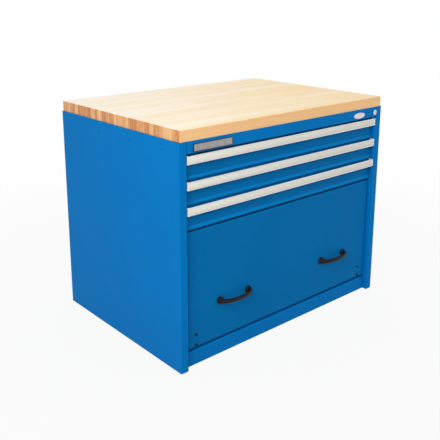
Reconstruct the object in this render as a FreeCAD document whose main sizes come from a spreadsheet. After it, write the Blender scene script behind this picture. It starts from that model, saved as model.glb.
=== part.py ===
import FreeCAD, Part
import math
import os
import Sketcher

# Tool drawer cabinet with a butcher-block top. Millimetres. +X is to the right seen from the
# front, the front faces -Y, +Z is up. The origin is on the floor, under the middle of the whole.

doc = FreeCAD.newDocument("tool_drawer_cabinet")
sheet = doc.addObject("Spreadsheet::Sheet", "Dims")


class Size:
    """A length together with its formula, so that each sketch and placement follows the sheet."""

    def __init__(self, value, text):
        self.value = value
        self.text = text

    def __add__(self, other):
        other = as_size(other)
        return Size(self.value + other.value, "(%s + %s)" % (self.text, other.text))

    def __radd__(self, other):
        return as_size(other) + self

    def __sub__(self, other):
        other = as_size(other)
        return Size(self.value - other.value, "(%s - %s)" % (self.text, other.text))

    def __rsub__(self, other):
        return as_size(other) - self

    def __mul__(self, factor):
        factor = as_size(factor)
        return Size(self.value * factor.value, "(%s * %s)" % (self.text, factor.text))

    def __rmul__(self, factor):
        return self * factor

    def __truediv__(self, divisor):
        divisor = as_size(divisor)
        return Size(self.value / divisor.value, "(%s / %s)" % (self.text, divisor.text))

    def __neg__(self):
        return Size(-self.value, "(-1 * %s)" % self.text)


def as_size(value):
    """A plain number becomes a length that depends on nothing."""
    return value if isinstance(value, Size) else Size(float(value), "%g" % value)


def dimension(alias, value, meaning):
    """Adds one driving dimension to the sheet and returns it."""
    row = dimension.row = dimension.row + 1
    sheet.set("A%d" % row, alias)
    sheet.set("B%d" % row, "%g" % value)
    sheet.set("C%d" % row, meaning)
    sheet.setAlias("B%d" % row, alias)
    return Size(float(value), "Dims." + alias)


dimension.row = 0

# Driving dimensions
cabinet_width = dimension("cabinet_width", 1022, "over both side panels")
cabinet_depth = dimension("cabinet_depth", 724, "post face to back")
body_height = dimension("body_height", 786, "floor to the top of the steel")
sheet_gauge = dimension("sheet_gauge", 1.5, "housing steel")
tray_gauge = dimension("tray_gauge", 1.2, "drawer box steel")
bend_radius = dimension("bend_radius", 3, "outside radius of a fold")
post_width = dimension("post_width", 31, "front face of a post")
rear_return = dimension("rear_return", 20, "depth of the rear return")
recess_depth = dimension("recess_depth", 18, "drawer fronts behind the post faces")
header_height = dimension("header_height", 41, "header rail")
rail_gap = dimension("rail_gap", 0.3, "a rail's end to the post")
rail_bend = dimension("rail_bend", 2, "outside radius of a tight fold")
panel_gap = dimension("panel_gap", 2, "back panel to the floor and to the top")
cover_gap = dimension("cover_gap", 0.5, "top cover and base panel to the back panel")
kick_height = dimension("kick_height", 54, "kick rail")
base_height = dimension("base_height", 57, "base panel")
cover_height = dimension("cover_height", 48, "folded sides of the top cover")
wood_thickness = dimension("wood_thickness", 38, "butcher-block top")
wood_side_inset = dimension("wood_side_inset", 5, "top inside the side panels")
wood_front_inset = dimension("wood_front_inset", 1, "top behind the post faces")
wood_round = dimension("wood_round", 2.5, "eased edges of the top")

screw_fit = dimension("screw_fit", 0.1, "screw to its hole")
small_shank = dimension("small_shank", 2.5, "shank radius of the front and side screws")
cover_shank = dimension("cover_shank", 3, "shank radius of a screw into the wood")
cover_hole = dimension("cover_hole", 3.5, "its hole in the top cover")
cover_head = dimension("cover_head", 6.5, "its head radius")
cover_head_height = dimension("cover_head_height", 4, "its head")
cover_screw_depth = dimension("cover_screw_depth", 24, "how far it goes into the wood")
cover_screw_place = dimension("cover_screw_place", 420, "screws from the middle")
cover_screw_inset = dimension("cover_screw_inset", 50, "screws from the cover's edge")
side_screw_drop = dimension("side_screw_drop", 36.5, "side screws below the steel top")
side_screw_first = dimension("side_screw_first", 87, "first side screw behind the post face")
side_screw_pitch = dimension("side_screw_pitch", 186.5, "one side screw to the next")
side_head = dimension("side_head", 5, "flush head radius of a side screw")
side_screw_length = dimension("side_screw_length", 10, "shank of a side screw")
front_screw_place = dimension("front_screw_place", 434, "front screws from the middle")
front_screw_low = dimension("front_screw_low", 9.5, "lower screws above the tall front's bottom")
front_screw_high = dimension("front_screw_high", 46.5, "upper screws")
front_head = dimension("front_head", 4.5, "head radius of a front screw")
front_head_height = dimension("front_head_height", 3, "its head")
front_screw_end = dimension("front_screw_end", 6, "its end behind the tray's front wall")
pull_shank = dimension("pull_shank", 2, "shank radius of a pull's screw")
pull_screw_depth = dimension("pull_screw_depth", 14, "how far it goes into the pull")
pull_screw_head = dimension("pull_screw_head", 4, "its head radius")
pull_head_height = dimension("pull_head_height", 3, "its head")

front_gap = dimension("front_gap", 3, "drawer front to post")
front_fold = dimension("front_fold", 20, "depth of a folded front")
front_height = dimension("front_height", 80, "shallow drawer front")
drawer_pitch = dimension("drawer_pitch", 84, "one drawer to the next")
lowest_drawer = dimension("lowest_drawer", 490, "bottom of the third drawer's front")
lip_height = dimension("lip_height", 12, "turned-out lip along a front's bottom")
lip_reach = dimension("lip_reach", 4, "how far the lip turns out")
front_bend = dimension("front_bend", 1.2, "outside radius of a shallow front's folds")
tall_bend = dimension("tall_bend", 2.5, "outside radius of the tall front's folds")
panel_bottom = dimension("panel_bottom", 65, "bottom of the tall front")
panel_height = dimension("panel_height", 415, "tall front")

handle_height = dimension("handle_height", 28, "handle strip")
handle_rise = dimension("handle_rise", 52.5, "strip's lower edge above the front's bottom")
handle_wall = dimension("handle_wall", 1.8, "wall of the handle extrusion")
handle_lip = dimension("handle_lip", 3.5, "lips that hold the label")
label_depth = dimension("label_depth", 1.2, "depth of the label channel")
handle_leg = dimension("handle_leg", 16, "leg screwed to the front")
cap_width = dimension("cap_width", 3, "end cap of the strip")
strip_round = dimension("strip_round", 1, "eased outer edges of the strip")

box_half = dimension("box_half", 460, "half the width of a drawer box")
box_length = dimension("box_length", 628, "drawer box, front to back")
box_bottom = dimension("box_bottom", 6, "box above the front's bottom edge")
box_height = dimension("box_height", 60, "walls of a shallow drawer box")
box_bend = dimension("box_bend", 2.5, "outside radius of a box's bottom folds")
tray_bottom = dimension("tray_bottom", 2, "tool tray above the tall front's bottom edge")
tray_back_height = dimension("tray_back_height", 150, "rear wall of the tool tray")
tray_front_height = dimension("tray_front_height", 374, "front wall of the tool tray")
tray_level_start = dimension("tray_level_start", 220, "where the side walls become level")
tray_slope_start = dimension("tray_slope_start", 50, "where the side walls start to fall")

slide_space = dimension("slide_space", 20, "box wall to upright")
slide_half = dimension("slide_half", 12.5, "half the height of a rail")
slide_rise = dimension("slide_rise", 22, "slide centre above a shallow front's bottom")
tool_slide_rise = dimension("tool_slide_rise", 27, "slide centre above the tall front's bottom")
flange_reach = dimension("flange_reach", 8, "flanges of a rail")
rail_setback = dimension("rail_setback", 5, "rail behind the folded front")
cabinet_rail_length = dimension("cabinet_rail_length", 653, "fixed rail")
drawer_rail_length = dimension("drawer_rail_length", 620, "rail on the drawer")
carriage_length = dimension("carriage_length", 600, "moving bar between the rails")
carriage_setback = dimension("carriage_setback", 4, "bar behind the rails' front")
bar_thickness = dimension("bar_thickness", 2.6, "carriage bar")
bar_half = dimension("bar_half", 9.5, "half the height of the carriage bar")
roller_fit = dimension("roller_fit", 0.05, "roller to flange, each side")
roller_width = dimension("roller_width", 6.4, "roller")
roller_inset = dimension("roller_inset", 24, "outermost rollers from the bar's ends")
roller_offset = dimension("roller_offset", 12, "middle rollers from the bar's middle")
stop_gap = dimension("stop_gap", 1, "rear stop inside the rail's height")

slot_pitch = dimension("slot_pitch", 28, "slots in an upright")
slot_count = 25
slot_first = dimension("slot_first", 36, "lowest slot")
slot_width = dimension("slot_width", 4, "slot across")
slot_height = dimension("slot_height", 10, "slot")
slot_setback = dimension("slot_setback", 20, "slot behind the upright's front edge")
lug_clearance = dimension("lug_clearance", 0.3, "rail lug in its slot, each side")
upright_depth = dimension("upright_depth", 40, "upright, front to back")
upright_setback = dimension("upright_setback", 3, "upright behind the folded front")
upright_top = dimension("upright_top", 737, "top of the uprights")
upright_gap = dimension("upright_gap", 1, "rear upright to the back panel")

lock_inset = dimension("lock_inset", 43, "lock to the side of the cabinet")
lock_height = dimension("lock_height", 764, "lock centre above the floor")
bezel_radius = dimension("bezel_radius", 10, "lock face")
bezel_thickness = dimension("bezel_thickness", 3, "lock face")
barrel_radius = dimension("barrel_radius", 8.6, "lock barrel")
barrel_length = dimension("barrel_length", 40, "lock barrel")
key_width = dimension("key_width", 2, "key slot")
key_height = dimension("key_height", 8, "key slot")
key_depth = dimension("key_depth", 6, "key slot, behind the post faces")
lock_notch = dimension("lock_notch", 16, "notch in the top cover, from the lock's axis")
notch_edge = dimension("notch_edge", 4, "sheet left beside and above the notch")
cam_radius = dimension("cam_radius", 13, "cam disc")
cam_thickness = dimension("cam_thickness", 3, "cam disc")
crank_radius = dimension("crank_radius", 9, "cam pin from the lock's axis")
crank_drop = dimension("crank_drop", 6.36, "cam pin above the axis, and beside it, at 45 degrees")
crank_pin = dimension("crank_pin", 2, "cam pin radius")
pin_play = dimension("pin_play", 0.4, "cam pin in its slot, above and below")
pin_side_play = dimension("pin_side_play", 0.6, "cam pin in its slot, at the ends")
arm_gap = dimension("arm_gap", 1, "lock bar's arm to the cam disc")
arm_end = dimension("arm_end", 2, "arm beyond the lock's axis, and below it")
arm_rise = dimension("arm_rise", 15, "arm above the lock's axis")
bar_tail = dimension("bar_tail", 12, "lock bar below its lowest finger")
bar_gauge = dimension("bar_gauge", 3, "lock bar")
bar_width = dimension("bar_width", 23, "lock bar, front to back")
finger_height = dimension("finger_height", 8, "locking finger")
finger_rise = dimension("finger_rise", 26.5, "unlocked finger above the slide centre")
finger_setback = dimension("finger_setback", 9, "finger behind the upright's front edge")
finger_depth = dimension("finger_depth", 5, "finger, front to back")
finger_reach = dimension("finger_reach", 6, "finger inside the upright")
window_play = dimension("window_play", 2, "finger to its window")
ear_gap = dimension("ear_gap", 1, "ear behind the finger")
ear_depth = dimension("ear_depth", 4, "ear, front to back")
ear_low = dimension("ear_low", 14, "ear above the slide centre")
ear_top = dimension("ear_top", 22, "ear above the slide centre")
ear_reach = dimension("ear_reach", 18, "ear beyond the box wall")

pull_centres = dimension("pull_centres", 128, "feet of a bow pull")
pull_place = dimension("pull_place", 262, "pull from the middle")
pull_rise = dimension("pull_rise", 139, "pull above the tall front's bottom")
pull_reach = dimension("pull_reach", 40, "pull in front of the panel")
pull_height = dimension("pull_height", 19, "grip, top to bottom")
pull_foot = dimension("pull_foot", 22, "foot of a pull, across")
pull_grip = dimension("pull_grip", 9, "grip, front to back")
pull_crown = dimension("pull_crown", 11, "how far the grip bows out")
pull_corner = dimension("pull_corner", 9, "cut corner of a pull")
pull_cheek = dimension("pull_cheek", 18, "foot of a pull, up to its cut corner")
pull_draft = dimension("pull_draft", 2, "taper of a foot's inner side")
pull_bend = dimension("pull_bend", 8, "rounded corners seen from above")
pull_bore = dimension("pull_bore", 16, "depth of a screw hole in a foot")
pull_round = dimension("pull_round", 2.5, "rounded edges of the grip")

# Places worked out from the driving dimensions
half_width = cabinet_width / 2
back = (cabinet_depth + pull_reach - recess_depth) / 2
face = back - cabinet_depth
recess = face + recess_depth
inside_front = recess + front_fold
inside_back = back - rear_return
opening_half = half_width - post_width
front_half = opening_half - front_gap
inner_wall = half_width - sheet_gauge
rails_front = inside_front + rail_setback
lock_x = half_width - lock_inset
shallow_drawers = {
    "drawer_1": lowest_drawer + drawer_pitch * 2,
    "drawer_2": lowest_drawer + drawer_pitch,
    "drawer_3": lowest_drawer,
}
slide_centres = {name: bottom + slide_rise for name, bottom in shallow_drawers.items()}
slide_centres["tool_drawer"] = panel_bottom + tool_slide_rise

# Drawing tools

NORMALS = {"XY": 1, "XZ": -1, "YZ": 1}


def new_body(label, x=0, y=0, z=0):
    """A sub-part of its own, placed by the sheet."""
    body = doc.addObject("PartDesign::Body", label)
    body.Label = label
    body.AllowCompound = True
    for axis, place in (("x", x), ("y", y), ("z", z)):
        body.setExpression("Placement.Base." + axis, as_size(place).text)
    return body


def new_sketch(body, plane, level):
    """A sketch parallel to one of the body's own planes, at a level along that plane's axis."""
    sketch = body.newObject("Sketcher::SketchObject", body.Label + "_sketch")
    role = plane + "_Plane"
    support = [f for f in body.Origin.OriginFeatures if f.Role == role][0]
    sketch.AttachmentSupport = [(support, "")]
    sketch.MapMode = "FlatFace"
    offset = as_size(level) if NORMALS[plane] > 0 else -as_size(level)
    sketch.setExpression("AttachmentOffset.Base.z", offset.text)
    return sketch


def pin_point(sketch, line, end, x, y):
    """Holds one point of a sketch at two lengths from the origin."""
    for kind, length in (("DistanceX", as_size(x)), ("DistanceY", as_size(y))):
        index = sketch.addConstraint(Sketcher.Constraint(kind, -1, 1, line, end, length.value))
        sketch.setExpression("Constraints[%d]" % index, length.text)


def draw_outline(sketch, points):
    """A closed outline of straight lines."""
    first = sketch.GeometryCount
    places = [FreeCAD.Vector(as_size(x).value, as_size(y).value, 0) for x, y in points]
    count = len(points)
    for i in range(count):
        sketch.addGeometry(Part.LineSegment(places[i], places[(i + 1) % count]), False)
    for i in range(count):
        after = first + (i + 1) % count
        sketch.addConstraint(Sketcher.Constraint("Coincident", first + i, 2, after, 1))
    for i, (x, y) in enumerate(points):
        pin_point(sketch, first + i, 1, x, y)


def draw_circle(sketch, x, y, radius):
    """A circle held by its centre and radius."""
    centre = FreeCAD.Vector(as_size(x).value, as_size(y).value, 0)
    radius = as_size(radius)
    index = sketch.addGeometry(Part.Circle(centre, FreeCAD.Vector(0, 0, 1), radius.value), False)
    pin_point(sketch, index, 3, x, y)
    held = sketch.addConstraint(Sketcher.Constraint("Radius", index, radius.value))
    sketch.setExpression("Constraints[%d]" % held, radius.text)


def rectangle(x0, y0, x1, y1):
    """Four corners of a rectangle."""
    return [(x0, y0), (x1, y0), (x1, y1), (x0, y1)]


def extrude(body, kind, plane, low, high, outlines, circles):
    """Pads or pockets a profile between two levels along the plane's axis."""
    adds = kind == "PartDesign::Pad"
    from_low = adds or NORMALS[plane] < 0
    sketch = new_sketch(body, plane, low if from_low else high)
    for points in outlines:
        draw_outline(sketch, points)
    for x, y, radius in circles:
        draw_circle(sketch, x, y, radius)
    feature = body.newObject(kind, body.Label + "_" + kind.split("::")[1].lower())
    feature.Profile = sketch
    feature.setExpression("Length", (as_size(high) - as_size(low)).text)
    feature.Reversed = adds and NORMALS[plane] < 0
    body.Tip = feature
    return feature


def pad(body, plane, low, high, *outlines, circles=()):
    return extrude(body, "PartDesign::Pad", plane, low, high, outlines, circles)


def pocket(body, plane, low, high, *outlines, circles=()):
    """Cuts a profile away, and stops if nothing was cut."""
    doc.recompute()
    before = body.Shape.Volume
    feature = extrude(body, "PartDesign::Pocket", plane, low, high, outlines, circles)
    doc.recompute()
    if body.Shape.Volume > before - 0.01:
        raise RuntimeError("a pocket in %s cut nothing" % body.Label)
    return feature


def span(near, far):
    """Two levels in rising order."""
    return sorted((as_size(near), as_size(far)), key=lambda size: size.value)


def is_near(value, wanted):
    return wanted is None or abs(value - as_size(wanted).value) < 0.02


def pick_edges(body, axis, x=None, y=None, z=None):
    """Names of the straight edges along one axis whose other coordinates are the given ones."""
    names = []
    for i, edge in enumerate(body.Tip.Shape.Edges):
        ends = [v.Point for v in edge.Vertexes]
        if len(ends) != 2 or edge.Curve.TypeId != "Part::GeomLine":
            continue
        run = ends[1] - ends[0]
        along = {"X": abs(run.x), "Y": abs(run.y), "Z": abs(run.z)}
        if along[axis] < run.Length - 0.01:
            continue
        mid = (ends[0] + ends[1]) * 0.5
        if is_near(mid.x, x) and is_near(mid.y, y) and is_near(mid.z, z):
            names.append("Edge%d" % (i + 1))
    return names


def round_named(body, radius, names):
    """Rounds the named edges of the body's last feature."""
    base = body.Tip
    feature = body.newObject("PartDesign::Fillet", body.Label + "_fillet")
    feature.Base = (base, names)
    feature.setExpression("Radius", as_size(radius).text)
    body.Tip = feature
    doc.recompute()


def round_edges(body, radius, *picks):
    """Rounds the edges that the picks name. Each pick is (axis, places)."""
    doc.recompute()
    names = []
    for axis, places in picks:
        found = pick_edges(body, axis, **places)
        if not found:
            raise RuntimeError("no edge to round in " + body.Label)
        names += found
    round_named(body, radius, names)


def repeat(body, feature, plane_axis, pitch, count):
    """Repeats a feature along one axis of the body."""
    doc.recompute()
    pattern = body.newObject("PartDesign::LinearPattern", body.Label + "_pattern")
    pattern.Originals = [feature]
    axis = [f for f in body.Origin.OriginFeatures if f.Role == plane_axis + "_Axis"][0]
    pattern.Direction = (axis, [""])
    pattern.setExpression("Length", (pitch * (count - 1)).text)
    pattern.Occurrences = count
    body.Tip = pattern
    return pattern


# A cut runs this far past the surface that it opens
past = 1
sides = (("left", -1), ("right", 1))
cover_screws = [(cover_screw_place * side, y) for side in (-1, 1)
                for y in (inside_front + cover_screw_inset, inside_back - cover_screw_inset)]
side_screw_height = body_height - side_screw_drop
side_screw_places = [face + side_screw_first + side_screw_pitch * i for i in range(3)]


# Side panels, each one sheet folded round into the front post and the rear post
def side_panel(name, sign):
    body = new_body(name + "_side_panel")
    outer = half_width * sign
    inner = opening_half * sign
    pad(body, "XY", 0, body_height, rectangle(outer, face, inner, back))
    round_edges(body, bend_radius, ("Z", dict(x=outer)), ("Z", dict(x=inner, y=face)))
    hollow = rectangle(outer - sheet_gauge * sign, face + sheet_gauge,
                       inner + sheet_gauge * sign, back - sheet_gauge)
    pocket(body, "XY", -past, body_height + past, hollow)
    low, high = span(inner, inner + sheet_gauge * sign)
    window = rectangle(inside_front, -past, inside_back, body_height + past)
    pocket(body, "YZ", low - past, high + past, window)
    holes = [(y, side_screw_height, side_head + screw_fit) for y in side_screw_places]
    low, high = span(outer, inner_wall * sign)
    pocket(body, "YZ", low - past, high + past, circles=holes)
    return body


# Back panel, a pan with folded edges between the rear posts
def back_panel():
    body = new_body("back_panel")
    edge = opening_half - rail_gap
    wall = sheet_gauge
    low = panel_gap
    high = body_height - panel_gap
    pad(body, "XZ", inside_back, back, rectangle(-edge, low, edge, high))
    pocket(body, "XZ", inside_back - past, back - wall,
           rectangle(-edge + wall, low + wall, edge - wall, high - wall))
    return body


# Top cover, a pan turned over, which carries the wood
def top_cover():
    body = new_body("top_cover")
    bottom = body_height - cover_height
    wall = sheet_gauge
    rear = inside_back - cover_gap
    pad(body, "XY", bottom, body_height, rectangle(-inner_wall, inside_front, inner_wall, rear))
    pocket(body, "XY", bottom - past, body_height - wall,
           rectangle(-inner_wall + wall, inside_front + wall, inner_wall - wall, rear - wall))
    notch = rectangle(lock_x - lock_notch, bottom - past,
                      inner_wall - notch_edge, body_height - notch_edge)
    pocket(body, "XZ", inside_front - past, inside_front + wall + past, notch)
    pocket(body, "XY", body_height - wall - past, body_height + past,
           circles=[(x, y, cover_hole) for x, y in cover_screws])
    for name, sign in sides:
        low, high = span(inner_wall * sign, (inner_wall - wall) * sign)
        pocket(body, "YZ", low - past, high + past,
               circles=[(y, side_screw_height, small_shank + screw_fit)
                        for y in side_screw_places])
    return body


# Base panel, the pan that stands on the floor behind the kick rail
def base_panel():
    body = new_body("base_panel")
    wall = sheet_gauge
    rear = inside_back - cover_gap
    pad(body, "XY", 0, base_height, rectangle(-inner_wall, inside_front, inner_wall, rear))
    pocket(body, "XY", -past, base_height - wall,
           rectangle(-inner_wall + wall, inside_front + wall, inner_wall - wall, rear - wall))
    return body


# Header rail, a channel between the posts, bored for the lock
def header_rail():
    body = new_body("header_rail")
    edge = opening_half - rail_gap
    bottom = body_height - header_height
    pad(body, "XZ", face, inside_front, rectangle(-edge, bottom, edge, body_height))
    round_edges(body, rail_bend, ("X", dict(y=face)))
    wall = sheet_gauge
    pocket(body, "XZ", face + wall, inside_front + past,
           rectangle(-edge - past, bottom + wall, edge + past, body_height - wall))
    pocket(body, "XZ", face - past, face + wall + past,
           circles=[(lock_x, lock_height, barrel_radius + screw_fit)])
    return body


# Kick rail, a channel in the recessed plane
def kick_rail():
    body = new_body("kick_rail")
    edge = opening_half - rail_gap
    pad(body, "XZ", recess, inside_front, rectangle(-edge, 0, edge, kick_height))
    round_edges(body, bend_radius, ("X", dict(y=recess)))
    wall = sheet_gauge
    pocket(body, "XZ", recess + wall, inside_front + past,
           rectangle(-edge - past, wall, edge + past, kick_height - wall))
    return body


# Slotted uprights, channels that carry the fixed rails. The right front one has windows too,
# through which the lock bar's fingers reach the drawers.
def upright(name, sign, end, front_edge):
    body = new_body("%s_%s_upright" % (name, end))
    web = opening_half
    tip = inner_wall - sheet_gauge
    back_edge = front_edge + upright_depth
    wall = sheet_gauge
    outline = [
        (tip * sign, front_edge), (web * sign, front_edge),
        (web * sign, back_edge), (tip * sign, back_edge),
        (tip * sign, back_edge - wall), ((web + wall) * sign, back_edge - wall),
        ((web + wall) * sign, front_edge + wall), (tip * sign, front_edge + wall),
    ]
    pad(body, "XY", base_height, upright_top, outline)
    round_edges(body, rail_bend, ("Z", dict(x=web * sign)))
    middle = front_edge + slot_setback
    low, high = span(web * sign, (web + wall) * sign)
    slot = rectangle(middle - slot_width / 2, slot_first + slot_pitch - slot_height / 2,
                     middle + slot_width / 2, slot_first + slot_pitch + slot_height / 2)
    feature = pocket(body, "YZ", low - past, high + past, slot)
    repeat(body, feature, "Z", slot_pitch, slot_count - 1)
    doc.recompute()
    if end == "front" and sign > 0:
        for centre in slide_centres.values():
            window = rectangle(finger_front - window_play, centre + slide_half,
                               finger_back + window_play,
                               centre + finger_rise + finger_height + window_play)
            pocket(body, "YZ", low - past, high + past, window)
    return body


front_upright_edge = inside_front + upright_setback
rear_upright_edge = inside_back - upright_gap - upright_depth
front_slot = front_upright_edge + slot_setback
rear_slot = rear_upright_edge + slot_setback
finger_front = front_upright_edge + finger_setback
finger_back = finger_front + finger_depth
ear_front = finger_back + ear_gap


# Slide parts, drawn in the cabinet's frame for one side and one height
def channel(inner, outer, opens, centre):
    """Outline of a C rail. The web lies at inner, the flanges reach to outer."""
    wall = sheet_gauge * opens
    return [
        (inner, centre - slide_half), (outer, centre - slide_half),
        (outer, centre - slide_half + sheet_gauge), (inner + wall, centre - slide_half + sheet_gauge),
        (inner + wall, centre + slide_half - sheet_gauge), (outer, centre + slide_half - sheet_gauge),
        (outer, centre + slide_half), (inner, centre + slide_half),
    ]


def cabinet_rail(drawer, name, sign):
    body = new_body("%s_%s_cabinet_rail" % (drawer, name), z=slide_centres[drawer])
    web = opening_half * sign
    outline = channel(web, web - flange_reach * sign, -sign, as_size(0))
    pad(body, "XZ", rails_front, rails_front + cabinet_rail_length, outline)
    low, high = span(web, web + sheet_gauge * sign)
    lug_half = slot_width / 2 - lug_clearance
    lug_rise = slot_height / 2 - lug_clearance
    for middle in (front_slot, rear_slot):
        pad(body, "YZ", low, high,
            rectangle(middle - lug_half, -lug_rise, middle + lug_half, lug_rise))
    stop_start = rails_front + cabinet_rail_length - sheet_gauge
    low, high = span(web, web - flange_reach * sign)
    pad(body, "XZ", stop_start, stop_start + sheet_gauge,
        rectangle(low, -slide_half + stop_gap, high, slide_half - stop_gap))
    return body


def drawer_rail(drawer, name, sign):
    body = new_body("%s_%s_drawer_rail" % (drawer, name), z=slide_centres[drawer])
    web = box_half * sign
    outline = channel(web, web + flange_reach * sign, sign, as_size(0))
    pad(body, "XZ", rails_front, rails_front + drawer_rail_length, outline)
    if sign > 0:
        root = slide_half - sheet_gauge / 2
        ear = [
            (box_half, root), (box_half + flange_reach, root),
            (box_half + flange_reach, ear_low), (box_half + ear_reach, ear_low),
            (box_half + ear_reach, ear_top), (box_half, ear_top),
        ]
        pad(body, "XZ", ear_front, ear_front + ear_depth, ear)
    return body


bar_inner = box_half + (slide_space - bar_thickness) / 2
bar_outer = bar_inner + bar_thickness
carriage_front = rails_front + carriage_setback
carriage_middle = carriage_front + carriage_length / 2
inner_roller_places = [carriage_front + roller_inset, carriage_middle - roller_offset]
outer_roller_places = [carriage_middle + roller_offset,
                       carriage_front + carriage_length - roller_inset]
roller_radius = slide_half - sheet_gauge - roller_fit


def carriage_bar(drawer, name, sign):
    body = new_body("%s_%s_carriage" % (drawer, name), z=slide_centres[drawer])
    low, high = span(bar_inner * sign, bar_outer * sign)
    pad(body, "YZ", low, high,
        rectangle(carriage_front, -bar_half, carriage_front + carriage_length, bar_half))
    return body


def rollers(drawer):
    body = new_body(drawer + "_rollers", z=slide_centres[drawer])
    for name, sign in sides:
        for places, near, far in ((inner_roller_places, bar_inner, bar_inner - roller_width),
                                  (outer_roller_places, bar_outer, bar_outer + roller_width)):
            low, high = span(near * sign, far * sign)
            pad(body, "YZ", low, high, circles=[(y, 0, roller_radius) for y in places])
    return body


# Shallow drawers: folded front, handle extrusion, box
def shallow_front(drawer, bottom):
    body = new_body(drawer + "_front", y=recess, z=bottom)
    profile = [
        (0, front_height), (0, lip_height), (-lip_reach, lip_height / 4), (-lip_reach, 0),
        (front_fold, 0), (front_fold, front_height),
    ]
    pad(body, "YZ", -front_half, front_half, profile)
    round_edges(body, front_bend, ("X", dict(y=0, z=front_height)),
                ("Z", dict(x=-front_half, y=0)), ("Z", dict(x=front_half, y=0)))
    gauge = tray_gauge
    hollow = [
        (gauge, front_height - gauge), (gauge, lip_height), (gauge - lip_reach, lip_height / 4),
        (gauge - lip_reach, gauge), (front_fold + past, gauge),
        (front_fold + past, front_height - gauge),
    ]
    pocket(body, "YZ", -front_half + gauge, front_half - gauge, hollow)
    return body


def handle(drawer, bottom):
    body = new_body(drawer + "_handle", y=recess, z=bottom)
    low = handle_rise
    top = handle_rise + handle_height
    nose = -recess_depth
    channel_back = nose + label_depth
    wall_back = channel_back + handle_wall
    profile = [
        (nose, low), (nose, low + handle_lip),
        (channel_back, low + handle_lip), (channel_back, top - handle_lip),
        (nose, top - handle_lip), (nose, top),
        (0, top), (0, top - handle_leg),
        (-handle_wall, top - handle_leg), (-handle_wall, top - handle_wall),
        (wall_back, top - handle_wall), (wall_back, low),
    ]
    end = front_half - cap_width
    pad(body, "YZ", -end, end, profile)
    round_edges(body, strip_round, ("X", dict(y=nose, z=low)), ("X", dict(y=nose, z=top)))
    return body


def shallow_box(drawer, bottom):
    body = new_body(drawer + "_box", y=inside_front, z=bottom + box_bottom)
    pad(body, "XY", 0, box_height, rectangle(-box_half, 0, box_half, box_length))
    round_edges(body, box_bend, ("X", dict(z=0)), ("Y", dict(z=0)))
    wall = tray_gauge
    pocket(body, "XY", wall, box_height + past,
           rectangle(-box_half + wall, wall, box_half - wall, box_length - wall))
    return body


# Tool drawer: tall folded front, deep tray whose sides rise to the front, pulls and screws
def tool_front():
    body = new_body("tool_drawer_front", y=recess, z=panel_bottom)
    pad(body, "XZ", 0, front_fold, rectangle(-front_half, 0, front_half, panel_height))
    round_edges(body, tall_bend, ("X", dict(y=0)), ("Z", dict(y=0)))
    wall = sheet_gauge
    pocket(body, "XZ", wall, front_fold + past,
           rectangle(-front_half + wall, wall, front_half - wall, panel_height - wall))
    hole = small_shank + screw_fit
    holes = [(x, z, hole) for x, z in front_screw_places]
    feet = [(x, pull_rise, hole) for x in pull_feet]
    pocket(body, "XZ", -past, wall + past, circles=holes + feet)
    return body


pull_feet = [pull_place * side + pull_centres / 2 * end for side in (-1, 1) for end in (-1, 1)]
front_screw_places = [(front_screw_place * side, z) for side in (-1, 1)
                      for z in (front_screw_low, front_screw_high)]


def tool_tray():
    body = new_body("tool_drawer_tray", y=inside_front, z=panel_bottom + tray_bottom)
    profile = [
        (0, 0), (box_length, 0), (box_length, tray_back_height),
        (tray_level_start, tray_back_height), (tray_slope_start, tray_front_height),
        (0, tray_front_height),
    ]
    pad(body, "YZ", -box_half, box_half, profile)
    round_edges(body, box_bend, ("X", dict(z=0)), ("Y", dict(z=0)))
    wall = tray_gauge
    hollow = rectangle(wall, wall, box_length - wall, tray_front_height + past)
    pocket(body, "YZ", -box_half + wall, box_half - wall, hollow)
    hole = small_shank + screw_fit
    pocket(body, "XZ", -past, wall + past,
           circles=[(x, z - tray_bottom, hole) for x, z in front_screw_places])
    return body


def bow_pull(name, sign):
    body = new_body("tool_drawer_%s_pull" % name, x=pull_place * sign, y=recess,
                    z=panel_bottom + pull_rise)
    half = pull_centres / 2 + pull_foot / 2
    inner = pull_centres / 2 - pull_foot / 2
    shoulder = pull_reach - pull_crown
    corner = half - pull_corner
    throat = inner - pull_draft
    corners = [
        (-half, 0), (-half, -pull_cheek), (-corner, -shoulder), (corner, -shoulder),
        (half, -pull_cheek), (half, 0), (inner, 0), (throat, pull_grip - shoulder),
        (-throat, pull_grip - shoulder), (-inner, 0),
    ]
    sketch = new_sketch(body, "XY", -pull_height / 2)
    draw_bowed_outline(sketch, corners, {2: "outer", 7: "inner"}, pull_crown)
    feature = body.newObject("PartDesign::Pad", body.Label + "_pad")
    feature.Profile = sketch
    feature.setExpression("Length", pull_height.text)
    body.Tip = feature
    doc.recompute()
    round_edges(body, pull_bend, ("Z", dict(y=-shoulder)), ("Z", dict(y=-pull_cheek)),
                ("Z", dict(y=pull_grip - shoulder)))
    names = []
    for i, edge in enumerate(body.Tip.Shape.Edges):
        box = edge.BoundBox
        level = box.ZLength < 0.01 and box.YMin < -0.5
        outside = abs(box.Center.x) > inner.value or box.YMin < 1 - pull_reach.value
        if level and outside:
            names.append("Edge%d" % (i + 1))
    round_named(body, pull_round, names)
    for foot in (-1, 1):
        pocket(body, "XZ", -pull_bore, 0,
               circles=[(pull_centres / 2 * foot, 0, pull_shank + screw_fit)])
    return body


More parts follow.
